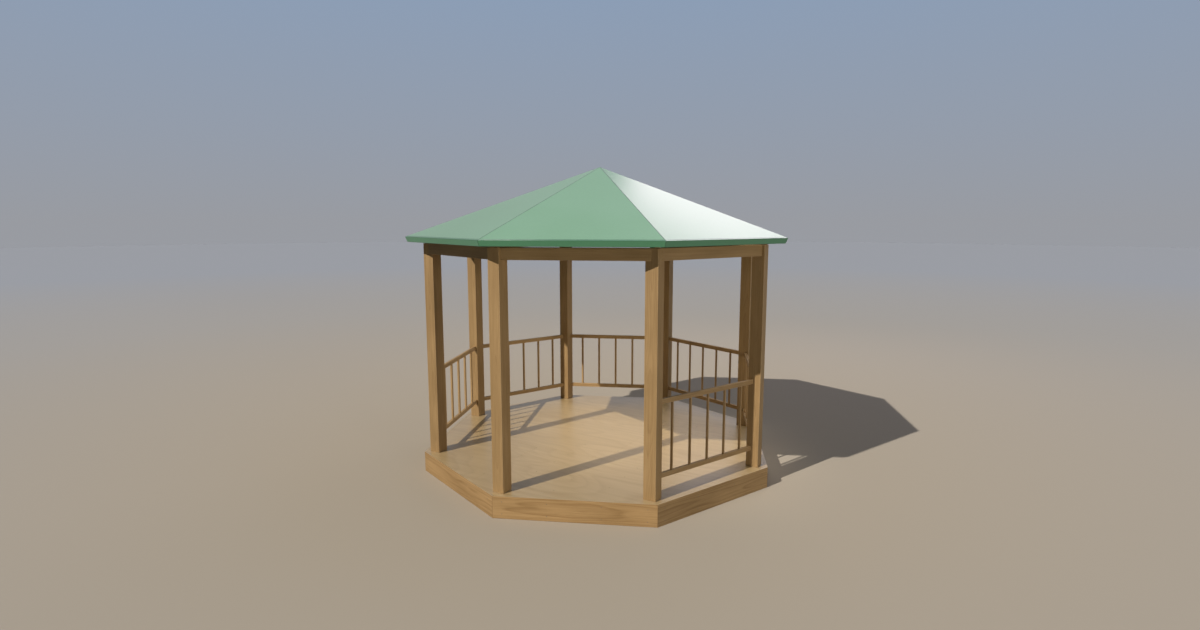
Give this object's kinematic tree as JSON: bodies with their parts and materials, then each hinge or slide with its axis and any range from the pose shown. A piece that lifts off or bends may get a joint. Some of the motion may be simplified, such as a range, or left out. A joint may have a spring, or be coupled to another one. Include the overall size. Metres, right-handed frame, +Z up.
{
  "type": "garden gazebo",
  "caption": "Eight-sided timber garden gazebo on a low deck, with two open bays, slim railings round the rest, and a low pointed green roof.",
  "frame": {"origin": "on the ground under the middle of the floor", "axes": "+Z up, -Y out through the corner post between the two open bays, +X to the right as seen from the entrance"},
  "size_m": [4.016, 4.016, 3.154],
  "materials": {
    "floor_wood": "pale sanded softwood, clear oiled",
    "joist_wood": "sawn softwood",
    "skirt_wood": "planed softwood, oiled",
    "frame_wood": "planed softwood, oiled",
    "rail_wood": "planed softwood, oiled",
    "rafter_wood": "planed softwood, oiled",
    "roof_green": "gloss green paint on exterior plywood",
    "eave_green": "gloss green paint",
    "screw_steel": "dulled zinc-plated screw heads"
  },
  "bodies": {
    "root": {"floor": "floor_wood", "floor_joists": "joist_wood", "skirt_board_front_left": "skirt_wood", "skirt_board_front_right": "skirt_wood", "skirt_board_right_front": "skirt_wood", "skirt_board_right_back": "skirt_wood", "skirt_board_back_right": "skirt_wood", "skirt_board_back_left": "skirt_wood", "skirt_board_left_back": "skirt_wood", "skirt_board_left_front": "skirt_wood", "post_front_left": "frame_wood", "post_front": "frame_wood", "post_front_right": "frame_wood", "post_right": "frame_wood", "post_back_right": "frame_wood", "post_back": "frame_wood", "post_back_left": "frame_wood", "post_left": "frame_wood", "ring_beam_front_left": "frame_wood", "ring_beam_front_right": "frame_wood", "ring_beam_right_front": "frame_wood", "ring_beam_right_back": "frame_wood", "ring_beam_back_right": "frame_wood", "ring_beam_back_left": "frame_wood", "ring_beam_left_back": "frame_wood", "ring_beam_left_front": "frame_wood", "roof_panel_front_left": "roof_green", "roof_panel_front_right": "roof_green", "roof_panel_right_front": "roof_green", "roof_panel_right_back": "roof_green", "roof_panel_back_right": "roof_green", "roof_panel_back_left": "roof_green", "roof_panel_left_back": "roof_green", "roof_panel_left_front": "roof_green", "fascia_boards_first_four": "eave_green", "fascia_boards_other_four": "eave_green", "hip_rafters": "rafter_wood", "roof_boss": "rafter_wood", "top_rails": "rail_wood", "bottom_rails": "rail_wood", "balusters": "rail_wood"}
  },
  "joints": []
}
